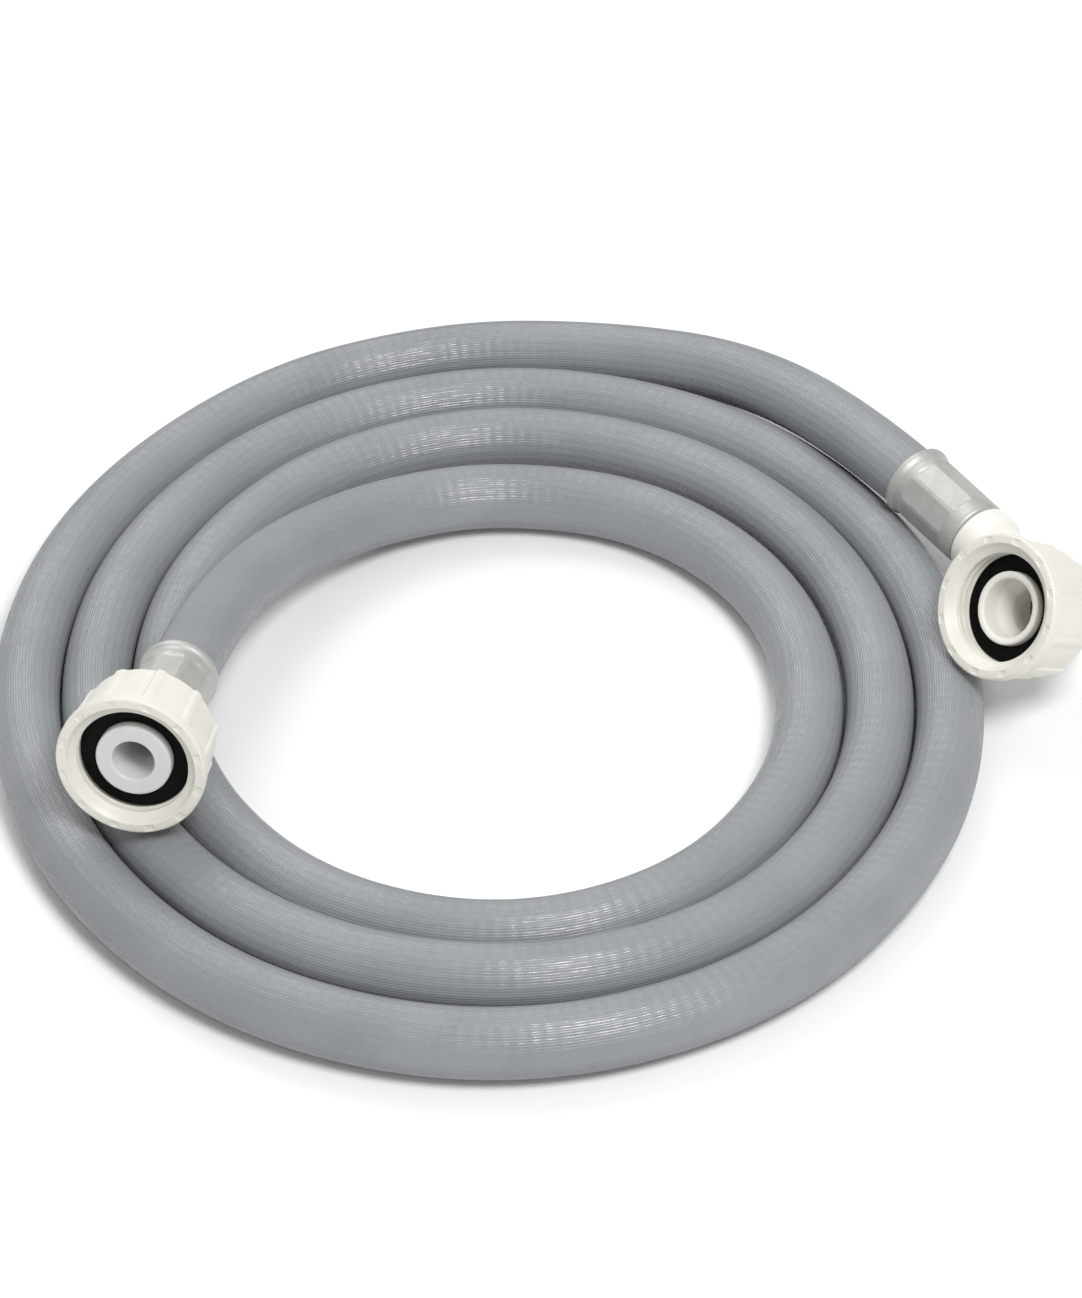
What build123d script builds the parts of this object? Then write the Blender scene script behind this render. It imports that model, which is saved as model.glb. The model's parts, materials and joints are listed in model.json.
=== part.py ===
from build123d import *
from math import cos, exp, pi, radians, sin, tan
import os

# A two metre water fill hose, coiled flat, with a straight and an elbow swivel end.
# Millimetres, +Z up. The coil lies on Z = 0 and the origin is the middle of its footprint.

# Hose: a smooth liner, a yarn braid and a ribbed jacket, all concentric
BORE_RADIUS = 5.0
LINER_RADIUS = 6.0
BRAID_RADIUS = 6.5
HOSE_RADIUS = 7.5

# Coil: how far the middle of the turns is from the origin, and how the turns grow
COIL_X = -8.84
COIL_Y = -4.47
INNER_TURN = 64.25
TURN_PITCH = 15.45
OVAL = 4.0
FIRST_ANGLE = 60
LAST_ANGLE = -960
POINT_STEP = 30
START_ANGLE = 165
# The innermost turn draws in at the back, and the middle turn rides up at the front
DRAW_IN = 5.0
DRAW_IN_ANGLE = 75
DRAW_IN_SPREAD = 42
RIDE_UP = 3.3
RIDE_UP_ANGLE = -460
RIDE_UP_SPREAD = 38

# G3/4 swivel nut: 26.441 major diameter, 24.117 minor diameter, 14 threads per inch
THREAD_MINOR_RADIUS = 12.06
THREAD_END = 11.2
THREAD_RELIEF = 0.5
MOUTH_RADIUS = 14.1
LEAD_IN = 2.0
NUT_LENGTH = 17.0
NUT_RIM_RADIUS = 16.2
NUT_RIM_WIDTH = 2.8
NUT_FRONT_RADIUS = 15.3
NUT_REAR_RADIUS = 14.5
NUT_FLOOR = 14.3
NUT_HOLE_RADIUS = 8.0
NUT_RIBS = 10
RIB_HEIGHT = 0.5
RIB_WIDTH = 2.6
RIB_ROOT = 1.5

# Flat sealing washer, gripped by the thread
WASHER_RADIUS = 12.0
WASHER_HOLE_RADIUS = 8.35
WASHER_THICKNESS = 2.5

# Tails: a flange behind the washer, a spigot through it and a barbed shank in the hose
FLANGE_RADIUS = 11.6
FLANGE_THICKNESS = 2.4
FLANGE_TAPER = 0.6
SPIGOT_RADIUS = 8.25
SPIGOT_CHAMFER = 0.3
SPIGOT_STAND_OUT = 2.0
WASHER_GAP = 0.05
NECK_RADIUS = 7.4
SHANK_RADIUS = 5.0
BARB_DEPTH = 0.45
BARBS = 5
SHANK_BORE_RADIUS = 3.6
SHANK_SHORT_BY = 1.0

# Crimped ferrules
FERRULE_LENGTH = 22.8
FERRULE_RADIUS = 8.1
FERRULE_FLARE_RADIUS = 8.8
FERRULE_FLARE_WIDTH = 0.9
FERRULE_BORE_RADIUS = 7.52
FERRULE_LIP = 1.2
FERRULE_LIP_RADIUS = 6.3
LIP_CLEARANCE = 0.03
CRIMPS = 8
CRIMP_FLAT = 7.78
CRIMP_RIDGE = 1.0
CRIMP_START = 4.0
CRIMP_END = 18.0

# Straight end: where the mouth of its nut is and which way it points
STRAIGHT_MOUTH = Vector(-78.6, -54.8, 34.0)
STRAIGHT_HEADING = -101.7
STRAIGHT_RISE = 12.2
STRAIGHT_WASHER_DEPTH = 4.5
STRAIGHT_FERRULE_DEPTH = 17.0
STRAIGHT_INLET_RADIUS = 4.65
STRAIGHT_INLET_DEPTH = 6.0

# Elbow end: the mouth of its nut, and the arm square to the nut's axis
ELBOW_MOUTH = Vector(107.6, -2.0, 30.7)
ELBOW_HEADING = -144.7
ELBOW_RISE = 31.9
ELBOW_ROLL = -3.4
ELBOW_WASHER_DEPTH = 6.2
ELBOW_DEPTH = 24.5
ELBOW_ARM = 30.6
ELBOW_TUBE_RADIUS = 7.0
ELBOW_BORE_RADIUS = 5.2
ELBOW_INLET_RADIUS = 6.65
ELBOW_INLET_DEPTH = 3.0
ELBOW_INLET_TAPER = 4.0
# Domed collar where the arm meets its ferrule
COLLAR_RADIUS = 8.2
COLLAR_WIDTH = 7.0
COLLAR_SLOPE = 1.6
COLLAR_EDGE = 0.8

# Hose between the straight ferrule and the coil, and between the coil and the elbow ferrule,
# measured from the middle of the coil
STRAIGHT_LEAD = 18.0
STRAIGHT_POINTS = [(-60.0, 21.5, 18.0), (-47.0, 42.0, 13.5), (-26.0, 59.0, 9.6), (1.0, 66.5, 7.8)]
ELBOW_LEAD = 14.0
ELBOW_POINTS = [(-15.0, 120.0, 8.1), (24.5, 117.5, 9.8), (60.2, 103.2, 14.0)]


def direction(heading, rise):
    """Unit vector at a heading about Z and a rise above the floor, in degrees."""
    flat = cos(radians(rise))
    return Vector(flat * cos(radians(heading)), flat * sin(radians(heading)), sin(radians(rise)))


def placed(mouth):
    """A point measured from the middle of the coil, in the part's own frame."""
    return Vector(mouth.X + COIL_X, mouth.Y + COIL_Y, mouth.Z)


def bump(angle, centre, spread):
    return exp(-(((angle - centre) / spread) ** 2))


def coil_point(angle):
    """Corner of the hose's route at an angle that counts down as the coil unwinds outward."""
    turns = (START_ANGLE - angle) / 360
    radius = INNER_TURN + TURN_PITCH * turns - OVAL * cos(2 * radians(angle))
    radius -= DRAW_IN * bump(angle, DRAW_IN_ANGLE, DRAW_IN_SPREAD)
    corner = radius / cos(radians(POINT_STEP / 2))
    height = HOSE_RADIUS + RIDE_UP * bump(angle, RIDE_UP_ANGLE, RIDE_UP_SPREAD)
    return (corner * cos(radians(angle)), corner * sin(radians(angle)), height)


def hose_route(straight_exit, straight_axis, elbow_exit, elbow_axis):
    """Corners of the route, from inside the straight ferrule to inside the elbow ferrule."""
    loose_start = [placed(Vector(*point)) for point in STRAIGHT_POINTS]
    turns = []
    for angle in range(FIRST_ANGLE, LAST_ANGLE - 1, -POINT_STEP):
        turns.append(placed(Vector(*coil_point(angle))))
    loose_end = [placed(Vector(*point)) for point in ELBOW_POINTS]
    start = [straight_exit, straight_exit - straight_axis * STRAIGHT_LEAD]
    end = [elbow_exit + elbow_axis * ELBOW_LEAD, elbow_exit]
    return start + loose_start + turns + loose_end + end


def bend_radii(route):
    """Largest tangent arc at each corner: 0.45 of the shorter run over the tangent of half the turn."""
    radii = []
    for before, corner, after in zip(route, route[1:], route[2:]):
        run_in = corner - before
        run_out = after - corner
        half_turn = radians(run_in.get_angle(run_out)) / 2
        radii.append(0.45 * min(run_in.length, run_out.length) / tan(half_turn))
    return radii


def swept_skin(path, start, radius):
    """Curved faces of a round rod swept along the path, without its flat ends."""
    rod = sweep(start * Circle(radius), path=path)
    return [face for face in rod.faces() if face.geom_type != GeomType.PLANE]


def tube(route, radii, outer, inner):
    """One hose layer: outer and inner skins along straight runs joined by tangent arcs, and two ring ends."""
    path = FilletPolyline(*route, radius=radii)
    start = Plane(origin=route[0], z_dir=route[1] - route[0])
    end = Plane(origin=route[-1], z_dir=route[-1] - route[-2])
    ring = Circle(outer) - Circle(inner)
    caps = [(place * ring).faces()[0] for place in (start, end)]
    return Solid(Shell(swept_skin(path, start, outer) + swept_skin(path, start, inner) + caps))


def turned(profile_points):
    """Solid of revolution about Z from (radius, height) corners."""
    face = make_face(Polyline(*[(r, 0, z) for r, z in profile_points], close=True))
    return revolve(face, axis=Axis.Z)


def nut():
    """Swivel nut, mouth at Z = 0 facing +Z, with the rim, the grip ribs and the rear floor."""
    chamfer = 0.8
    relief = THREAD_MINOR_RADIUS + THREAD_RELIEF
    shell = turned([
        (MOUTH_RADIUS, 0), (NUT_RIM_RADIUS - chamfer, 0), (NUT_RIM_RADIUS, -chamfer),
        (NUT_RIM_RADIUS, -NUT_RIM_WIDTH), (NUT_FRONT_RADIUS, -NUT_RIM_WIDTH - chamfer),
        (NUT_REAR_RADIUS, -NUT_LENGTH + chamfer), (NUT_REAR_RADIUS - chamfer, -NUT_LENGTH),
        (NUT_HOLE_RADIUS, -NUT_LENGTH), (NUT_HOLE_RADIUS, -NUT_FLOOR), (relief, -NUT_FLOOR),
        (relief, -THREAD_END - THREAD_RELIEF), (THREAD_MINOR_RADIUS, -THREAD_END),
        (THREAD_MINOR_RADIUS, -LEAD_IN),
    ])
    rib_length = NUT_LENGTH - NUT_RIM_WIDTH - 2 * chamfer
    rib_depth = RIB_HEIGHT + RIB_ROOT
    rib_middle = NUT_REAR_RADIUS + RIB_HEIGHT - rib_depth / 2
    for index in range(NUT_RIBS):
        rib = Pos(rib_middle, 0, -(NUT_RIM_WIDTH + NUT_LENGTH) / 2) * Box(rib_depth, RIB_WIDTH, rib_length)
        shell += Rot(0, 0, index * 360 / NUT_RIBS) * rib
    return shell


def washer():
    """Flat washer, front face at Z = 0."""
    ring = Cylinder(WASHER_RADIUS, WASHER_THICKNESS) - Cylinder(WASHER_HOLE_RADIUS, WASHER_THICKNESS)
    return Pos(0, 0, -WASHER_THICKNESS / 2) * ring


def head_profile(neck_end):
    """Outline of a tail's head, washer face at Z = 0, from the spigot's end to the end of the neck."""
    flange_front = -WASHER_THICKNESS - WASHER_GAP
    flange_back = flange_front - FLANGE_THICKNESS
    return [
        (SPIGOT_RADIUS - SPIGOT_CHAMFER, SPIGOT_STAND_OUT), (SPIGOT_RADIUS, SPIGOT_STAND_OUT - SPIGOT_CHAMFER),
        (SPIGOT_RADIUS, flange_front), (FLANGE_RADIUS, flange_front), (FLANGE_RADIUS, flange_back),
        (NECK_RADIUS, flange_back - FLANGE_TAPER), (NECK_RADIUS, neck_end),
    ]


def shank_profile(start):
    """Barbs from the hose's end to the tip of the shank, as (radius, height) corners."""
    length = FERRULE_LENGTH - FERRULE_LIP - SHANK_SHORT_BY
    pitch = length / BARBS
    root = SHANK_RADIUS - BARB_DEPTH
    corners = []
    for index in range(BARBS):
        top = start - index * pitch
        corners.append((root, top))
        corners.append((SHANK_RADIUS, top - 0.25 * pitch))
        corners.append((SHANK_RADIUS, top - 0.4 * pitch))
    corners.append((root, start - length))
    return corners


def straight_tail():
    """Moulded insert of the straight end, washer face at Z = 0, shank toward -Z."""
    lip_front = STRAIGHT_WASHER_DEPTH - STRAIGHT_FERRULE_DEPTH
    lip_radius = FERRULE_LIP_RADIUS - LIP_CLEARANCE
    hose_end = lip_front - FERRULE_LIP
    outline = [(STRAIGHT_INLET_RADIUS, SPIGOT_STAND_OUT)] + head_profile(lip_front)
    outline += [(lip_radius, lip_front), (lip_radius, hose_end)]
    outline += shank_profile(hose_end)
    tip = outline[-1][1]
    outline += [(SHANK_BORE_RADIUS, tip), (SHANK_BORE_RADIUS, -STRAIGHT_INLET_DEPTH)]
    return turned(outline)


def ferrule():
    """Crimped sleeve, fitting end at Z = 0, hose end toward -Z, with a flared rim."""
    chamfer = 0.8
    flare_start = FERRULE_FLARE_WIDTH - FERRULE_LENGTH
    body = turned([
        (FERRULE_LIP_RADIUS, 0), (FERRULE_RADIUS - chamfer, 0), (FERRULE_RADIUS, -chamfer),
        (FERRULE_RADIUS, flare_start + chamfer), (FERRULE_FLARE_RADIUS, flare_start),
        (FERRULE_FLARE_RADIUS, -FERRULE_LENGTH), (FERRULE_BORE_RADIUS, -FERRULE_LENGTH),
        (FERRULE_BORE_RADIUS, -FERRULE_LIP), (FERRULE_LIP_RADIUS, -FERRULE_LIP),
    ])
    flat_width = 2 * FERRULE_RADIUS * sin(pi / CRIMPS) - CRIMP_RIDGE
    flat_depth = 2.0
    for index in range(CRIMPS):
        cutter = Pos(CRIMP_FLAT + flat_depth / 2, 0, -(CRIMP_START + CRIMP_END) / 2)
        cutter *= Box(flat_depth, flat_width, CRIMP_END - CRIMP_START)
        body -= Rot(0, 0, (index + 0.5) * 360 / CRIMPS) * cutter
    return body


def elbow_tail():
    """Elbow insert, washer face at Z = 0, its arm leaving along +X toward the hose."""
    bend = ELBOW_WASHER_DEPTH - ELBOW_DEPTH
    collar_start = -ELBOW_ARM + COLLAR_WIDTH
    hose_end = -ELBOW_ARM - FERRULE_LIP
    lip_radius = FERRULE_LIP_RADIUS - LIP_CLEARANCE
    arm_outline = [
        (0, 0), (ELBOW_TUBE_RADIUS, 0), (ELBOW_TUBE_RADIUS, collar_start),
        (COLLAR_RADIUS, collar_start - COLLAR_SLOPE), (COLLAR_RADIUS, -ELBOW_ARM + COLLAR_EDGE),
        (COLLAR_RADIUS - COLLAR_EDGE, -ELBOW_ARM), (lip_radius, -ELBOW_ARM), (lip_radius, hose_end),
    ]
    arm_outline += shank_profile(hose_end)
    tip = arm_outline[-1][1]
    arm_outline.append((0, tip))
    head = turned([(0, 0)] + head_profile(bend) + [(0, bend)])
    arm_place = Location(Plane(origin=(0, 0, bend), x_dir=(0, 1, 0), z_dir=(-1, 0, 0)))
    solid = head + arm_place * turned(arm_outline) + Pos(0, 0, bend) * Sphere(NECK_RADIUS)
    past_end = 1.0
    mouth = SPIGOT_STAND_OUT + past_end
    inlet_end = -ELBOW_INLET_DEPTH - ELBOW_INLET_TAPER
    down_bore = turned([
        (0, mouth), (ELBOW_INLET_RADIUS, mouth), (ELBOW_INLET_RADIUS, -ELBOW_INLET_DEPTH),
        (ELBOW_BORE_RADIUS, inlet_end), (ELBOW_BORE_RADIUS, bend), (0, bend),
    ])
    arm_bore = turned([
        (0, 0), (ELBOW_BORE_RADIUS, 0), (ELBOW_BORE_RADIUS, collar_start),
        (SHANK_BORE_RADIUS, -ELBOW_ARM), (SHANK_BORE_RADIUS, tip - past_end), (0, tip - past_end),
    ])
    return solid - down_bore - arm_place * arm_bore - Pos(0, 0, bend) * Sphere(ELBOW_BORE_RADIUS)


def main():
    straight_axis = direction(STRAIGHT_HEADING, STRAIGHT_RISE)
    straight_mouth = placed(STRAIGHT_MOUTH)
    straight_side = Vector(0, 0, 1).cross(straight_axis)
    straight_frame = Plane(origin=straight_mouth, x_dir=straight_side, z_dir=straight_axis)
    straight_exit = straight_mouth - straight_axis * (STRAIGHT_FERRULE_DEPTH + FERRULE_LENGTH)

    elbow_axis = direction(ELBOW_HEADING, ELBOW_RISE)
    elbow_mouth = placed(ELBOW_MOUTH)
    level = elbow_axis.cross(Vector(0, 0, 1)).normalized()
    arm_axis = level.rotate(Axis((0, 0, 0), elbow_axis), ELBOW_ROLL)
    elbow_frame = Plane(origin=elbow_mouth, x_dir=arm_axis, z_dir=elbow_axis)
    elbow_centre = elbow_mouth - elbow_axis * ELBOW_DEPTH
    elbow_exit = elbow_centre + arm_axis * (ELBOW_ARM + FERRULE_LENGTH)

    # The hose is cut square inside each ferrule, against the ferrule's lip
    straight_end = straight_exit + straight_axis * (FERRULE_LENGTH - FERRULE_LIP)
    elbow_end = elbow_exit - arm_axis * (FERRULE_LENGTH - FERRULE_LIP)
    free_route = hose_route(straight_exit, straight_axis, elbow_exit, arm_axis)
    route = [straight_end] + free_route[1:-1] + [elbow_end]
    radii = bend_radii(route)
    print("bend radii", [round(radius, 1) for radius in radii])

    parts = {}
    layers = {
        "hose_liner": (LINER_RADIUS, BORE_RADIUS),
        "hose_braid": (BRAID_RADIUS, LINER_RADIUS),
        "hose_jacket": (HOSE_RADIUS, BRAID_RADIUS),
    }
    length = FilletPolyline(*route, radius=radii).length
    for name, (outer, inner) in layers.items():
        layer = tube(route, radii, outer, inner)
        section = pi * (outer ** 2 - inner ** 2)
        print(name, "volume", round(layer.volume), "section times length", round(section * length))
        parts[name] = layer
    print("hose length", round(length, 1))

    straight_face = straight_frame.location * Pos(0, 0, -STRAIGHT_WASHER_DEPTH)
    parts["straight_nut"] = straight_frame.location * nut()
    parts["straight_washer"] = straight_face * washer()
    parts["straight_tail"] = straight_face * straight_tail()
    parts["straight_ferrule"] = straight_frame.location * Pos(0, 0, -STRAIGHT_FERRULE_DEPTH) * ferrule()

    elbow_face = elbow_frame.location * Pos(0, 0, -ELBOW_WASHER_DEPTH)
    parts["elbow_nut"] = elbow_frame.location * nut()
    parts["elbow_washer"] = elbow_face * washer()
    parts["elbow_tail"] = elbow_face * elbow_tail()
    ferrule_plane = Plane(origin=elbow_centre + arm_axis * ELBOW_ARM, x_dir=elbow_axis, z_dir=-arm_axis)
    parts["elbow_ferrule"] = ferrule_plane.location * ferrule()

    os.makedirs("parts", exist_ok=True)
    for name, part in parts.items():
        export_step(part, f"parts/{name}.step")
    box = Compound(children=[Part(part.wrapped) for part in parts.values()]).bounding_box()
    print("lowest", box.min, "highest", box.max)


main()
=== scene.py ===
"""Looks of the coiled water inlet hose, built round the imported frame. Metres."""
import json
from math import cos, exp, pi, radians, sin, sqrt

import bpy
from mathutils import Matrix, Quaternion, Vector


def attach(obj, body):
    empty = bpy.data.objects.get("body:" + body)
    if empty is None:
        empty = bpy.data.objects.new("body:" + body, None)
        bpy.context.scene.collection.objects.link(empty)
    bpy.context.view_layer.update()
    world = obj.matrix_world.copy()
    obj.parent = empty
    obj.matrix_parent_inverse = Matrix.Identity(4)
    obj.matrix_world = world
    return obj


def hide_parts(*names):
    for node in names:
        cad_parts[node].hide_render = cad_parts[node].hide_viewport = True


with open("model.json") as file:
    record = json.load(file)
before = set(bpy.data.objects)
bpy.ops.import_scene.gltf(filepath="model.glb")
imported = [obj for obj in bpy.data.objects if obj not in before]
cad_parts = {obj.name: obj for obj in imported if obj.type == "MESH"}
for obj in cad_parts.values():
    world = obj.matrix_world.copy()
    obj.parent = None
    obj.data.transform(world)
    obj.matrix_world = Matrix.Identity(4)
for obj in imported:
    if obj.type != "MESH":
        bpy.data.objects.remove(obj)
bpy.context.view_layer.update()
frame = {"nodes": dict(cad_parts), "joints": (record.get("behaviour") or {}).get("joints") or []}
joints = {joint["name"]: joint for joint in frame["joints"]}

MM = 0.001

# Hose
HOSE_RADIUS = 7.5 * MM
JACKET_INNER_RADIUS = 6.5 * MM
RIBS = 76
RIB_DEPTH = 0.11 * MM
RING_POINTS = 2 * RIBS
SAMPLES_PER_SPAN = 16
INNER_RING_EVERY = 4
# Braid showing through the jacket: crests round the hose, and crests along one hose circumference of length
BRAID_AROUND = 12
BRAID_ALONG = 8
# Glossy streaks: noise cells round the hose, and along one hose circumference of length
STREAKS_AROUND = 1.3 * RIBS
STREAKS_ALONG = 9.0

# Coil, as in the part's source
COIL_X = -8.84 * MM
COIL_Y = -4.47 * MM
INNER_TURN = 64.25 * MM
TURN_PITCH = 15.45 * MM
OVAL = 4.0 * MM
FIRST_ANGLE = 60
LAST_ANGLE = -960
POINT_STEP = 30
START_ANGLE = 165
DRAW_IN = 5.0 * MM
DRAW_IN_ANGLE = 75
DRAW_IN_SPREAD = 42
RIDE_UP = 3.3 * MM
RIDE_UP_ANGLE = -460
RIDE_UP_SPREAD = 38

# Loose stretches beside the two ends, in millimetres from the middle of the coil
STRAIGHT_POINTS = [(-60.0, 21.5, 18.0), (-47.0, 42.0, 13.5), (-26.0, 59.0, 9.6), (1.0, 66.5, 7.8)]
ELBOW_POINTS = [(-15.0, 120.0, 8.1), (24.5, 117.5, 9.8), (60.2, 103.2, 14.0)]
STRAIGHT_LEAD = 18.0 * MM
ELBOW_LEAD = 14.0 * MM

# Nut, with depths measured back from its mouth
THREAD_MAJOR_RADIUS = 13.22 * MM
THREAD_MINOR_RADIUS = 12.06 * MM
THREAD_PITCH = 1.814 * MM
THREAD_START = 2.0 * MM
THREAD_END = 11.2 * MM
THREAD_FADE_IN = 0.4 * MM
THREAD_FADE_OUT = 0.8 * MM
THREAD_FLANK = (0.1, 0.9)
THREAD_RELIEF = 0.5 * MM
RELIEF_SLOPE = 0.6 * MM
MOUTH_RADIUS = 14.1 * MM
LEAD_IN_RADIUS = 13.4 * MM
LEAD_IN_DEPTH = 0.9 * MM
NUT_LENGTH = 17.0 * MM
NUT_RIM_RADIUS = 16.2 * MM
NUT_RIM_WIDTH = 2.8 * MM
NUT_RIM_STEP = 0.5 * MM
NUT_FRONT_RADIUS = 15.1 * MM
NUT_REAR_RADIUS = 14.5 * MM
NUT_FLOOR = 14.3 * MM
NUT_HOLE_RADIUS = 8.0 * MM
# Saw-tooth grip ribs; rise and fall are shares of the angle from one rib to the next
NUT_RIBS = 10
RIB_HEIGHT = 0.55 * MM
RIB_RISE = (0.0, 0.20)
RIB_FALL = (0.30, 0.345)
RIB_FADE = 1.2 * MM
RIB_REACH_IN = 0.9 * MM
# Shallow marks on the mouth's face, with rise and fall as for the ribs
MOUTH_MARKS = 12
MARK_DEPTH = 0.22 * MM
MARK_RISE = (0.40, 0.44)
MARK_FALL = (0.62, 0.66)
MARK_INNER_RADIUS = 14.5 * MM
MARK_OUTER_RADIUS = 15.6 * MM

# Washers and tails
WASHER_RADIUS = 12.0 * MM
WASHER_HOLE_RADIUS = 8.35 * MM
WASHER_THICKNESS = 2.5 * MM
WASHER_EDGE = 0.35 * MM
STRAIGHT_WASHER_DEPTH = 4.5 * MM
ELBOW_WASHER_DEPTH = 6.2 * MM
STRAIGHT_FERRULE_DEPTH = 17.0 * MM
ELBOW_DEPTH = 24.5 * MM
ELBOW_ARM = 30.6 * MM
ELBOW_ROLL = -3.4
EASE_FACTOR = 0.5
EASE_STEPS = 6

# Ferrules, with depths measured back from the lip
FERRULE_LENGTH = 22.8 * MM
FERRULE_RADIUS = 8.1 * MM
FERRULE_FLARE_RADIUS = 8.8 * MM
FERRULE_FLARE_START = 2.1 * MM
FERRULE_FLARE_WIDTH = 1.2 * MM
FERRULE_BORE_RADIUS = 7.52 * MM
FERRULE_LIP = 1.2 * MM
FERRULE_LIP_RADIUS = 6.3 * MM
CRIMPS = 8
CRIMP_FLAT = 7.66 * MM
CRIMP_START = 4.0 * MM
CRIMP_END = 18.6 * MM
# Half the width of a flat as a share of the angle between flats, how square its outline is, and its soft edge
CRIMP_HALF_WIDTH = 0.42
CRIMP_SQUARENESS = 8
CRIMP_EDGE = (0.88, 1.02)


# ---------------------------------------------------------------- places

def fitting_frame(origin, axis, side):
    """Matrix that stands a piece made along +Z at origin, with +Z along axis and +X towards side."""
    across = axis.cross(side).normalized()
    return Matrix.Translation(origin) @ Matrix((across.cross(axis), across, axis)).transposed().to_4x4()


straight_mouth = Vector(joints["straight_nut_spin"]["pos_m"])
straight_axis = Vector(joints["straight_nut_spin"]["axis"]).normalized()
straight_side = Vector((0, 0, 1)).cross(straight_axis).normalized()
straight_place = fitting_frame(straight_mouth, straight_axis, straight_side)
straight_exit = straight_mouth - straight_axis * (STRAIGHT_FERRULE_DEPTH + FERRULE_LENGTH)

elbow_mouth = Vector(joints["elbow_nut_spin"]["pos_m"])
elbow_axis = Vector(joints["elbow_nut_spin"]["axis"]).normalized()
arm_axis = elbow_axis.cross(Vector((0, 0, 1))).normalized()
arm_axis.rotate(Quaternion(elbow_axis, radians(ELBOW_ROLL)))
elbow_place = fitting_frame(elbow_mouth, elbow_axis, arm_axis)
elbow_centre = elbow_mouth - elbow_axis * ELBOW_DEPTH
elbow_exit = elbow_centre + arm_axis * (ELBOW_ARM + FERRULE_LENGTH)


def from_coil(x, y, z):
    """A place given from the middle of the coil."""
    return Vector((x + COIL_X, y + COIL_Y, z))


def bump(angle, centre, spread):
    return exp(-(((angle - centre) / spread) ** 2))


def coil_point(angle):
    """Control point of the hose at an angle that counts down as the coil unwinds outward."""
    turns = (START_ANGLE - angle) / 360
    radius = INNER_TURN + TURN_PITCH * turns - OVAL * cos(2 * radians(angle))
    radius -= DRAW_IN * bump(angle, DRAW_IN_ANGLE, DRAW_IN_SPREAD)
    corner = radius / cos(radians(POINT_STEP / 2))
    height = HOSE_RADIUS + RIDE_UP * bump(angle, RIDE_UP_ANGLE, RIDE_UP_SPREAD)
    return from_coil(corner * cos(radians(angle)), corner * sin(radians(angle)), height)


def hose_route():
    """Control points of the whole hose, from inside one ferrule to inside the other."""
    hidden = FERRULE_LENGTH - FERRULE_LIP
    start = [straight_exit + straight_axis * hidden, straight_exit - straight_axis * STRAIGHT_LEAD]
    end = [elbow_exit + arm_axis * ELBOW_LEAD, elbow_exit - arm_axis * hidden]
    loose_start = [from_coil(*(MM * value for value in point)) for point in STRAIGHT_POINTS]
    loose_end = [from_coil(*(MM * value for value in point)) for point in ELBOW_POINTS]
    turns = [coil_point(angle) for angle in range(FIRST_ANGLE, LAST_ANGLE - 1, -POINT_STEP)]
    return start + loose_start + turns + loose_end + end


# ---------------------------------------------------------------- mesh tools

def mesh_object(name, vertices, faces, sharp_angle=32.0):
    mesh = bpy.data.meshes.new(name)
    mesh.from_pydata(vertices, [], faces)
    mesh.validate()
    mesh.shade_smooth()
    mesh.set_sharp_from_angle(angle=radians(sharp_angle))
    piece = bpy.data.objects.new(name, mesh)
    bpy.context.scene.collection.objects.link(piece)
    return piece


def rounded(corners, steps=5):
    """Closed outline from (radius, height, fillet) corners, each fillet an arc-like curve of a few points."""
    outline = []
    count = len(corners)
    for index, (r, z, fillet) in enumerate(corners):
        here = Vector((r, z))
        if fillet == 0:
            outline.append((r, z))
            continue
        before = Vector(corners[index - 1][:2]) - here
        after = Vector(corners[(index + 1) % count][:2]) - here
        enter = here + before.normalized() * min(fillet, before.length * 0.49)
        leave = here + after.normalized() * min(fillet, after.length * 0.49)
        for step in range(steps + 1):
            t = step / steps
            point = enter * (1 - t) ** 2 + here * 2 * t * (1 - t) + leave * t ** 2
            outline.append((point.x, point.y))
    return outline


def divided(outline, longest):
    """The closed outline with every long side divided, so that relief has points to move."""
    fine = []
    for (r0, z0), (r1, z1) in zip(outline, outline[1:] + outline[:1]):
        parts = max(1, int(sqrt((r1 - r0) ** 2 + (z1 - z0) ** 2) / longest + 0.5))
        for part in range(parts):
            t = part / parts
            fine.append((r0 + (r1 - r0) * t, z0 + (z1 - z0) * t))
    return fine


def ring_solid(name, outline, steps, place, relief=None, sharp_angle=32.0):
    """Closed ring: the outline turned about Z, each point moved by relief(angle, radius, height)."""
    vertices = []
    for step in range(steps):
        angle = 2 * pi * step / steps
        for r, z in outline:
            if relief:
                r, z = relief(angle, r, z)
            vertices.append(place @ Vector((r * cos(angle), r * sin(angle), z)))
    faces = []
    count = len(outline)
    for step in range(steps):
        here = step * count
        there = ((step + 1) % steps) * count
        for index in range(count):
            after = (index + 1) % count
            faces.append((here + index, here + after, there + after, there + index))
    piece = mesh_object(name, vertices, faces, sharp_angle)
    face_outward(piece)
    return piece


def face_outward(piece):
    """Turns a closed mesh's faces outward, found from the sign of its volume."""
    mesh = piece.data
    mesh.calc_loop_triangles()
    volume = 0.0
    for triangle in mesh.loop_triangles:
        a, b, c = (mesh.vertices[index].co for index in triangle.vertices)
        volume += a.dot(b.cross(c))
    if volume < 0:
        mesh.flip_normals()


def smooth_step(value, low, high):
    t = min(max((value - low) / (high - low), 0.0), 1.0)
    return t * t * (3 - 2 * t)


# ---------------------------------------------------------------- hose

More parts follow.
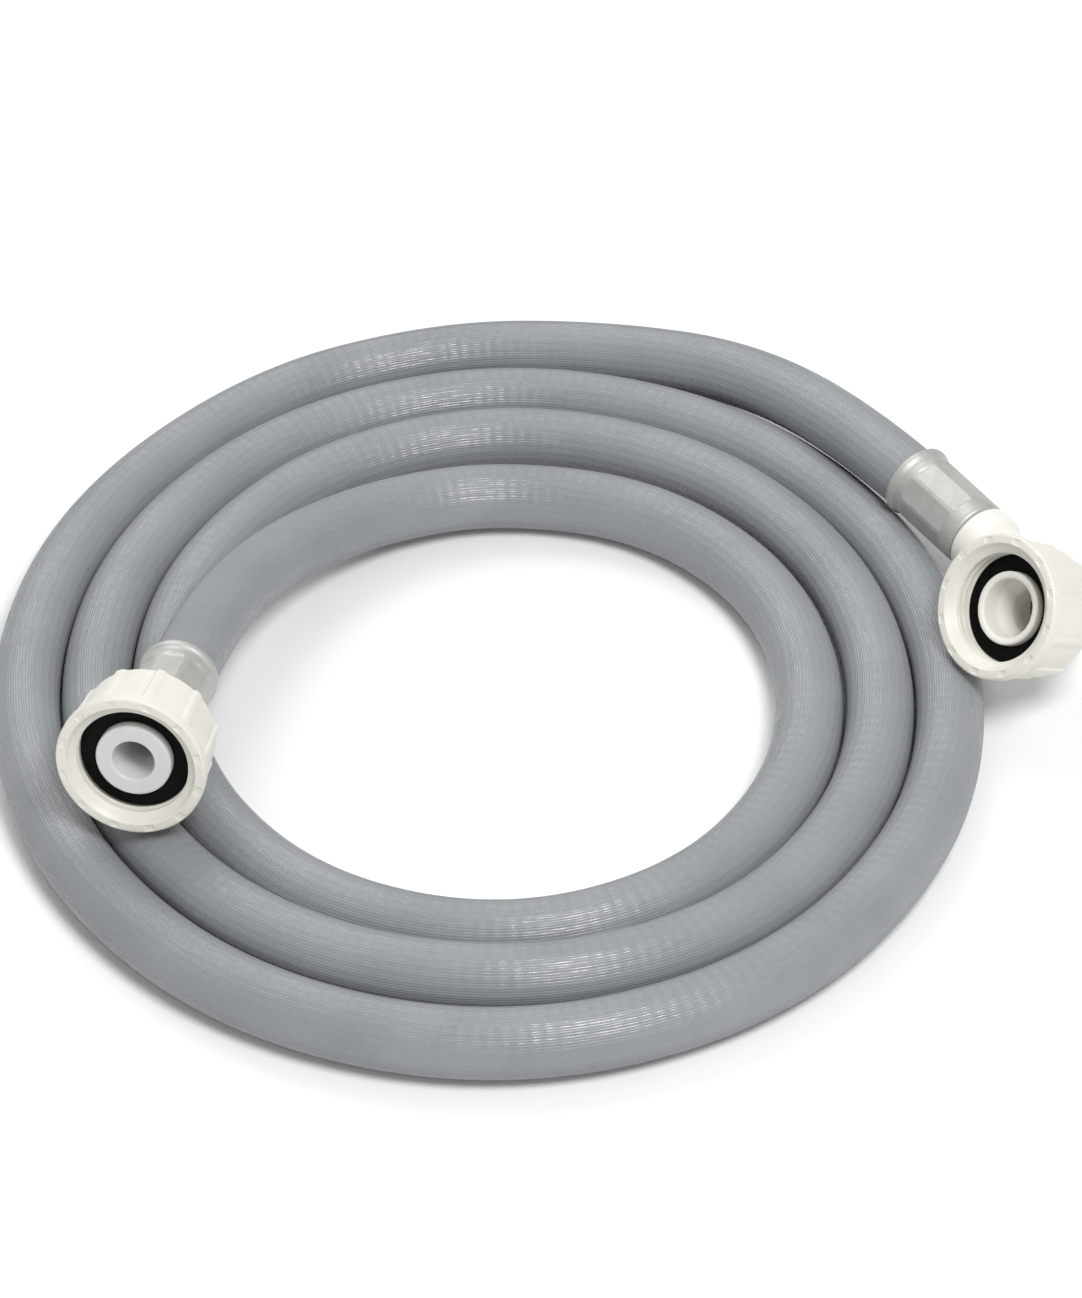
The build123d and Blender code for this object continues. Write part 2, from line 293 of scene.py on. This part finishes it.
def centreline(route):
    """Evenly evaluated points of one smooth NURBS spline through the route's control points."""
    curve = bpy.data.curves.new("hose_centreline", "CURVE")
    curve.dimensions = "3D"
    spline = curve.splines.new("NURBS")
    spline.points.add(len(route) - 1)
    for point, place in zip(spline.points, route):
        point.co = (*place, 1.0)
    spline.order_u = 3
    spline.use_endpoint_u = True
    spline.resolution_u = SAMPLES_PER_SPAN
    carrier = bpy.data.objects.new("hose_centreline", curve)
    bpy.context.scene.collection.objects.link(carrier)
    mesh = bpy.data.meshes.new_from_object(carrier)
    line = [vertex.co.copy() for vertex in mesh.vertices]
    bpy.data.objects.remove(carrier)
    bpy.data.curves.remove(curve)
    bpy.data.meshes.remove(mesh)
    return line


def frames_along(line):
    """(point, normal, binormal) along the line, carried with no twist."""
    normal = Vector((0, 0, 1))
    result = []
    for index, point in enumerate(line):
        before = line[max(index - 1, 0)]
        after = line[min(index + 1, len(line) - 1)]
        tangent = (after - before).normalized()
        normal = (normal - tangent * normal.dot(tangent)).normalized()
        result.append((point, normal, tangent.cross(normal)))
    return result


def hose_mesh(line):
    """The jacket as a closed tube: ribbed outer skin, smooth inner skin and ring ends."""
    stations = frames_along(line)
    vertices = []
    faces = []
    along = [0.0]
    for before, after in zip(line, line[1:]):
        along.append(along[-1] + (after - before).length)

    def add_ring(station, radius, rib_depth):
        point, normal, binormal = station
        start = len(vertices)
        for step in range(RING_POINTS):
            angle = 2 * pi * step / RING_POINTS
            reach = radius - (rib_depth if step % 2 else 0.0)
            vertices.append(point + (normal * cos(angle) + binormal * sin(angle)) * reach)
        return start

    def join(ring_a, ring_b):
        for step in range(RING_POINTS):
            after = (step + 1) % RING_POINTS
            faces.append((ring_a + step, ring_a + after, ring_b + after, ring_b + step))

    outer = [add_ring(station, HOSE_RADIUS, RIB_DEPTH) for station in stations]
    inner_stations = stations[::INNER_RING_EVERY]
    if (len(stations) - 1) % INNER_RING_EVERY:
        inner_stations.append(stations[-1])
    inner = [add_ring(station, JACKET_INNER_RADIUS, 0.0) for station in inner_stations]
    for ring_a, ring_b in zip(outer, outer[1:]):
        join(ring_a, ring_b)
    join(outer[-1], inner[-1])
    for ring_a, ring_b in zip(inner[:0:-1], inner[-2::-1]):
        join(ring_a, ring_b)
    join(inner[0], outer[0])
    piece = mesh_object("hose_jacket_skin", vertices, faces, sharp_angle=60.0)
    face_outward(piece)
    crease_valleys(piece.data, len(outer) * RING_POINTS)
    add_hose_uv(piece.data, len(outer), along)
    return piece


def crease_valleys(mesh, outer_points):
    """Sharp lengthwise edges in the valleys between ribs, so that each rib is rounded by itself."""
    for edge in mesh.edges:
        first, second = edge.vertices
        lengthwise = first % RING_POINTS == second % RING_POINTS
        if lengthwise and first % 2 and max(first, second) < outer_points:
            edge.use_edge_sharp = True


def add_hose_uv(mesh, rings, along):
    """Around the hose in U, along it in V, both in hose circumferences."""
    layer = mesh.uv_layers.new(name="UVMap")
    circumference = 2 * pi * HOSE_RADIUS
    outer_points = rings * RING_POINTS
    for polygon in mesh.polygons:
        steps = [mesh.loops[loop].vertex_index % RING_POINTS for loop in polygon.loop_indices]
        wraps = max(steps) - min(steps) > RING_POINTS / 2
        for loop, step in zip(polygon.loop_indices, steps):
            vertex = mesh.loops[loop].vertex_index
            ring = min(vertex // RING_POINTS, rings - 1) if vertex < outer_points else 0
            turn = step / RING_POINTS + (1.0 if wraps and step < RING_POINTS / 2 else 0.0)
            layer.data[loop].uv = (turn, along[ring] / circumference)


# ---------------------------------------------------------------- fittings

def nut_relief(angle, r, z):
    """Helical thread inside, saw-tooth grip ribs outside and shallow marks on the mouth's face."""
    inside = r < THREAD_MINOR_RADIUS + 0.05 * MM
    if inside and -THREAD_END < z < -THREAD_START:
        depth = THREAD_MAJOR_RADIUS - THREAD_MINOR_RADIUS
        fade = smooth_step(-z - THREAD_START, 0.0, THREAD_FADE_IN)
        fade *= smooth_step(z + THREAD_END, 0.0, THREAD_FADE_OUT)
        phase = (z / THREAD_PITCH + angle / (2 * pi)) % 1.0
        return r + depth * fade * smooth_step(abs(2 * phase - 1), *THREAD_FLANK), z
    tooth = (angle / (2 * pi) * NUT_RIBS) % 1.0
    outer_wall = r > NUT_REAR_RADIUS - RIB_REACH_IN and z < -NUT_RIM_WIDTH - 0.1 * MM
    if outer_wall:
        rise = smooth_step(tooth, *RIB_RISE) * (1 - smooth_step(tooth, *RIB_FALL))
        fade = smooth_step(-z, NUT_RIM_WIDTH, NUT_RIM_WIDTH + RIB_FADE)
        return r + RIB_HEIGHT * rise * fade, z
    on_mouth = z > -0.05 * MM and MARK_INNER_RADIUS < r < MARK_OUTER_RADIUS
    if on_mouth:
        turn = (angle / (2 * pi) * MOUTH_MARKS) % 1.0
        mark = smooth_step(turn, *MARK_RISE) * (1 - smooth_step(turn, *MARK_FALL))
        return r, z - MARK_DEPTH * mark
    return r, z


def nut(name, place):
    """Swivel nut with its mouth at the origin, opening along +Z. Corners are (radius, height, fillet)."""
    relief_radius = THREAD_MINOR_RADIUS + THREAD_RELIEF
    corners = [
        (MOUTH_RADIUS, 0, 0.2 * MM),
        (NUT_RIM_RADIUS, 0, 0.7 * MM),
        (NUT_RIM_RADIUS, -NUT_RIM_WIDTH, 0.5 * MM),
        (NUT_FRONT_RADIUS, -NUT_RIM_WIDTH - NUT_RIM_STEP, 0.5 * MM),
        (NUT_REAR_RADIUS, -NUT_LENGTH, 1.3 * MM),
        (NUT_HOLE_RADIUS, -NUT_LENGTH, 0.4 * MM),
        (NUT_HOLE_RADIUS, -NUT_FLOOR, 0.3 * MM),
        (relief_radius, -NUT_FLOOR, 0.4 * MM),
        (relief_radius, -THREAD_END - RELIEF_SLOPE, 0.1 * MM),
        (THREAD_MINOR_RADIUS, -THREAD_END, 0.1 * MM),
        (THREAD_MINOR_RADIUS, -THREAD_START, 0.1 * MM),
        (LEAD_IN_RADIUS, -LEAD_IN_DEPTH, 0.15 * MM),
    ]
    outline = divided(rounded(corners), longest=0.2 * MM)
    return ring_solid(name, outline, 288, place, nut_relief, sharp_angle=28.0)


def washer(name, place):
    """Flat sealing washer, its front face at the origin."""
    corners = [
        (WASHER_HOLE_RADIUS, 0, WASHER_EDGE),
        (WASHER_RADIUS, 0, WASHER_EDGE),
        (WASHER_RADIUS, -WASHER_THICKNESS, WASHER_EDGE),
        (WASHER_HOLE_RADIUS, -WASHER_THICKNESS, WASHER_EDGE),
    ]
    return ring_solid(name, divided(rounded(corners), longest=0.8 * MM), 128, place)


def ferrule_relief(angle, r, z):
    """Lengthwise crimped flats with rounded ends, ridges left between them."""
    if r < FERRULE_BORE_RADIUS + 0.1 * MM:
        return r, z
    period = 2 * pi / CRIMPS
    off_middle = (angle + period / 2) % period - period / 2
    half_width = CRIMP_HALF_WIDTH * period
    middle = -(CRIMP_START + CRIMP_END) / 2
    half_length = (CRIMP_END - CRIMP_START) / 2
    across = abs(off_middle) / half_width
    along = abs(z - middle) / half_length
    edge = (across ** CRIMP_SQUARENESS + along ** (2 * CRIMP_SQUARENESS)) ** (1 / CRIMP_SQUARENESS)
    pressed = 1 - smooth_step(edge, *CRIMP_EDGE)
    flat = min(r, CRIMP_FLAT / cos(off_middle))
    return r + (flat - r) * pressed, z


def ferrule(name, place):
    """Crimped metal sleeve, lip at the origin and flared end behind it."""
    corners = [
        (FERRULE_LIP_RADIUS, 0, 0.2 * MM),
        (FERRULE_RADIUS, 0, 1.1 * MM),
        (FERRULE_RADIUS, FERRULE_FLARE_START - FERRULE_LENGTH, 0.6 * MM),
        (FERRULE_FLARE_RADIUS, FERRULE_FLARE_WIDTH - FERRULE_LENGTH, 0.5 * MM),
        (FERRULE_FLARE_RADIUS, -FERRULE_LENGTH, 0.35 * MM),
        (FERRULE_BORE_RADIUS, -FERRULE_LENGTH, 0.2 * MM),
        (FERRULE_BORE_RADIUS, -FERRULE_LIP, 0),
        (FERRULE_LIP_RADIUS, -FERRULE_LIP, 0.1 * MM),
    ]
    outline = divided(rounded(corners), longest=0.35 * MM)
    return ring_solid(name, outline, 256, place, ferrule_relief, sharp_angle=40.0)


def moulded_copy(node, name, voxel):
    """A CAD node's mesh remeshed and eased, so that its edges and joins are as soft as moulded plastic."""
    piece = bpy.data.objects.new(name, frame["nodes"][node].data.copy())
    bpy.context.scene.collection.objects.link(piece)
    remesh = piece.modifiers.new("remesh", "REMESH")
    remesh.mode = "VOXEL"
    remesh.voxel_size = voxel
    remesh.use_smooth_shade = True
    ease = piece.modifiers.new("ease", "SMOOTH")
    ease.factor = EASE_FACTOR
    ease.iterations = EASE_STEPS
    depsgraph = bpy.context.evaluated_depsgraph_get()
    mesh = bpy.data.meshes.new_from_object(piece.evaluated_get(depsgraph))
    piece.modifiers.clear()
    piece.data = mesh
    mesh.name = name
    mesh.shade_smooth()
    return piece


# ---------------------------------------------------------------- materials

class Nodes:
    """Short names for building a material's node tree."""

    def __init__(self, name):
        self.material = bpy.data.materials.new(name)
        self.material.use_nodes = True
        self.tree = self.material.node_tree
        self.shader = self.tree.nodes["Principled BSDF"]

    def add(self, kind, **settings):
        node = self.tree.nodes.new(kind)
        for key, value in settings.items():
            setattr(node, key, value)
        return node

    def link(self, output, socket):
        self.tree.links.new(output, socket)

    def math(self, operation, first, second=0.0):
        node = self.add("ShaderNodeMath", operation=operation)
        for socket, value in zip(node.inputs, (first, second)):
            if isinstance(value, (int, float)):
                socket.default_value = value
            else:
                self.link(value, socket)
        return node.outputs[0]

    def noise(self, scale, detail=3.0, roughness=0.5):
        place = self.add("ShaderNodeTexCoord")
        node = self.add("ShaderNodeTexNoise")
        node.inputs["Scale"].default_value = scale
        node.inputs["Detail"].default_value = detail
        node.inputs["Roughness"].default_value = roughness
        self.link(place.outputs["Object"], node.inputs["Vector"])
        return node.outputs["Fac"]

    def tint(self, factor, low, high):
        ramp = self.add("ShaderNodeValToRGB")
        ramp.color_ramp.elements[0].position = 0.3
        ramp.color_ramp.elements[1].position = 0.7
        ramp.color_ramp.elements[0].color = (*low, 1)
        ramp.color_ramp.elements[1].color = (*high, 1)
        self.link(factor, ramp.inputs["Fac"])
        self.link(ramp.outputs["Color"], self.shader.inputs["Base Color"])

    def rough(self, factor, low, high):
        spread = self.add("ShaderNodeMapRange")
        spread.inputs["To Min"].default_value = low
        spread.inputs["To Max"].default_value = high
        self.link(factor, spread.inputs["Value"])
        self.link(spread.outputs["Result"], self.shader.inputs["Roughness"])

    def relief(self, height, distance, strength=1.0):
        node = self.add("ShaderNodeBump")
        node.inputs["Strength"].default_value = strength
        node.inputs["Distance"].default_value = distance
        self.link(height, node.inputs["Height"])
        self.link(node.outputs["Normal"], self.shader.inputs["Normal"])

    def set(self, **values):
        for key, value in values.items():
            self.shader.inputs[key.replace("_", " ")].default_value = value


def jacket_material():
    """Grey ribbed PVC, with the braid under it showing through as a faint diamond swell."""
    nodes = Nodes("jacket_pvc")
    uv = nodes.add("ShaderNodeUVMap", uv_map="UVMap")
    split = nodes.add("ShaderNodeSeparateXYZ")
    nodes.link(uv.outputs["UV"], split.inputs[0])
    around = split.outputs["X"]
    along = split.outputs["Y"]
    waves = []
    for hand in (1.0, -1.0):
        helix = nodes.math("ADD", nodes.math("MULTIPLY", around, 2 * pi * BRAID_AROUND),
                           nodes.math("MULTIPLY", along, 2 * pi * BRAID_ALONG * hand))
        waves.append(nodes.math("SINE", helix))
    braid = nodes.math("MULTIPLY", waves[0], waves[1])
    grain = nodes.noise(700.0, 3.0)
    height = nodes.math("ADD", braid, nodes.math("MULTIPLY", grain, 0.9))
    nodes.relief(height, 0.04 * MM, 1.0)
    nodes.tint(nodes.noise(45.0, 4.0), (0.250, 0.264, 0.276), (0.286, 0.299, 0.310))
    # Short glossy lengths scattered over the ribs
    stretched = nodes.add("ShaderNodeCombineXYZ")
    nodes.link(nodes.math("MULTIPLY", around, STREAKS_AROUND), stretched.inputs["X"])
    nodes.link(nodes.math("MULTIPLY", along, STREAKS_ALONG), stretched.inputs["Y"])
    streaks = nodes.add("ShaderNodeTexNoise")
    streaks.inputs["Scale"].default_value = 1.0
    streaks.inputs["Detail"].default_value = 2.0
    nodes.link(stretched.outputs["Vector"], streaks.inputs["Vector"])
    gloss = nodes.add("ShaderNodeMapRange")
    gloss.inputs["From Min"].default_value = 0.42
    gloss.inputs["From Max"].default_value = 0.58
    gloss.inputs["To Min"].default_value = 0.19
    gloss.inputs["To Max"].default_value = 0.44
    nodes.link(streaks.outputs["Fac"], gloss.inputs["Value"])
    nodes.link(gloss.outputs["Result"], nodes.shader.inputs["Roughness"])
    nodes.set(Specular_IOR_Level=0.5)
    return nodes.material


def moulded_material(name, low, high, gloss, scatter):
    """Moulded plastic: slight colour drift, fine grain and a soft glow below the surface."""
    nodes = Nodes(name)
    nodes.tint(nodes.noise(160.0, 4.0, 0.6), low, high)
    nodes.relief(nodes.noise(1400.0, 3.0), 0.02 * MM, 0.6)
    nodes.rough(nodes.noise(300.0, 2.0), gloss, gloss + 0.14)
    nodes.set(Subsurface_Weight=scatter, Subsurface_Scale=0.0015, Subsurface_Radius=(1.0, 0.95, 0.8))
    return nodes.material


def rubber_material():
    nodes = Nodes("washer_rubber")
    nodes.tint(nodes.noise(500.0, 3.0), (0.002, 0.002, 0.002), (0.005, 0.005, 0.005))
    nodes.relief(nodes.noise(2600.0, 3.0), 0.03 * MM, 0.8)
    nodes.rough(nodes.noise(700.0, 2.0), 0.6, 0.75)
    nodes.set(Specular_IOR_Level=0.12)
    return nodes.material


def metal_material():
    """Satin crimped aluminium with fine drawing marks and slight dulling."""
    nodes = Nodes("ferrule_metal")
    nodes.tint(nodes.noise(220.0, 5.0, 0.7), (0.47, 0.465, 0.445), (0.58, 0.57, 0.55))
    nodes.relief(nodes.noise(1800.0, 4.0, 0.7), 0.02 * MM, 0.7)
    nodes.rough(nodes.noise(350.0, 4.0, 0.6), 0.42, 0.58)
    nodes.set(Metallic=0.55)
    return nodes.material


def yarn_material():
    nodes = Nodes("braid_yarn")
    nodes.tint(nodes.noise(1200.0, 2.0), (0.60, 0.60, 0.57), (0.80, 0.80, 0.77))
    nodes.relief(nodes.noise(1500.0, 2.0), 0.1 * MM, 1.0)
    nodes.set(Roughness=0.8)
    return nodes.material


def liner_material():
    nodes = Nodes("liner_pvc")
    nodes.tint(nodes.noise(80.0, 2.0), (0.52, 0.54, 0.54), (0.60, 0.62, 0.62))
    nodes.relief(nodes.noise(900.0, 2.0), 0.02 * MM, 0.5)
    nodes.set(Roughness=0.3)
    return nodes.material


def floor_material():
    nodes = Nodes("floor_paper")
    nodes.tint(nodes.noise(3.0, 2.0), (0.90, 0.90, 0.90), (0.93, 0.93, 0.93))
    nodes.set(Roughness=0.8, Specular_IOR_Level=0.1)
    return nodes.material


def dress(piece, material, body, node):
    """Material, body, slot and the CAD node that a piece stands for."""
    piece.data.materials.clear()
    piece.data.materials.append(material)
    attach(piece, body)
    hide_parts(node)


# ---------------------------------------------------------------- the hose and its ends

jacket = jacket_material()
ivory = moulded_material("nut_plastic", (0.735, 0.72, 0.65), (0.775, 0.76, 0.695), 0.36, 0.12)
ivory_tail = moulded_material("elbow_plastic", (0.80, 0.785, 0.74), (0.84, 0.825, 0.78), 0.32, 0.30)
milky = moulded_material("tail_plastic", (0.64, 0.64, 0.63), (0.69, 0.69, 0.68), 0.28, 0.40)
rubber = rubber_material()
metal = metal_material()

line = centreline(hose_route())
hose = hose_mesh(line)
dress(hose, jacket, "hose", "hose_jacket")

straight_face = straight_place @ Matrix.Translation((0, 0, -STRAIGHT_WASHER_DEPTH))
elbow_face = elbow_place @ Matrix.Translation((0, 0, -ELBOW_WASHER_DEPTH))
arm_frame = fitting_frame(elbow_centre + arm_axis * ELBOW_ARM, -arm_axis, elbow_axis)

straight_nut = nut("straight_nut_body", straight_place)
dress(straight_nut, ivory, "straight_nut", "straight_nut")
elbow_nut = nut("elbow_nut_body", elbow_place)
dress(elbow_nut, ivory, "elbow_nut", "elbow_nut")

straight_washer = washer("straight_washer_ring", straight_face)
dress(straight_washer, rubber, "straight_washer", "straight_washer")
elbow_washer = washer("elbow_washer_ring", elbow_face)
dress(elbow_washer, rubber, "elbow_washer", "elbow_washer")

ferrule_back = Matrix.Translation((0, 0, -STRAIGHT_FERRULE_DEPTH))
straight_ferrule = ferrule("straight_ferrule_sleeve", straight_place @ ferrule_back)
dress(straight_ferrule, metal, "hose", "straight_ferrule")
elbow_ferrule = ferrule("elbow_ferrule_sleeve", arm_frame)
dress(elbow_ferrule, metal, "hose", "elbow_ferrule")

straight_tail = moulded_copy("straight_tail", "straight_tail_insert", 0.22 * MM)
dress(straight_tail, milky, "hose", "straight_tail")
elbow_tail = moulded_copy("elbow_tail", "elbow_tail_insert", 0.28 * MM)
dress(elbow_tail, ivory_tail, "hose", "elbow_tail")

for node, material in (("hose_braid", yarn_material()), ("hose_liner", liner_material())):
    hidden_layer = frame["nodes"][node]
    for socket in hidden_layer.material_slots:
        socket.material = material


# ---------------------------------------------------------------- stage, light and camera

def soft_light(name, place, aim, size, power):
    light = bpy.data.lights.new(name, "AREA")
    light.shape = "DISK"
    light.size = size
    light.energy = power
    lamp = bpy.data.objects.new(name, light)
    lamp.location = place
    lamp.rotation_euler = (Vector(aim) - Vector(place)).to_track_quat("-Z", "Y").to_euler()
    bpy.context.scene.collection.objects.link(lamp)


def floor_sheet(half_side):
    corners = [(-half_side, -half_side, 0), (half_side, -half_side, 0), (half_side, half_side, 0),
               (-half_side, half_side, 0)]
    sheet = mesh_object("floor", corners, [(0, 1, 2, 3)])
    sheet.data.materials.append(floor_material())


def camera():
    """Long lens from in front and above, at the distance that a product shot is taken from."""
    elevation = radians(42.4)
    distance = 0.962
    middle = Vector((COIL_X, COIL_Y, 0))
    aim = middle + Vector((8.3 * MM, 19.7 * MM, 0))
    place = middle + Vector((0, -cos(elevation), sin(elevation))) * distance
    lens = bpy.data.cameras.new("camera")
    lens.lens = 119.0
    lens.sensor_width = 36.0
    lens.clip_start = 0.01
    view = bpy.data.objects.new("camera", lens)
    view.location = place
    view.rotation_euler = (aim - place).to_track_quat("-Z", "Y").to_euler()
    bpy.context.scene.collection.objects.link(view)
    bpy.context.scene.camera = view


floor_sheet(3.0)
soft_light("key", (0.27, -0.46, 1.0), (0, 0, 0), 0.42, 8.0)
soft_light("back", (-0.35, 0.75, 0.9), (0, 0, 0), 0.9, 5.0)
world = bpy.data.worlds.new("studio")
world.use_nodes = True
world.node_tree.nodes["Background"].inputs["Color"].default_value = (1.0, 1.0, 1.0, 1.0)
world.node_tree.nodes["Background"].inputs["Strength"].default_value = 0.5
bpy.context.scene.world = world
bpy.context.scene.view_settings.view_transform = "Standard"
camera()
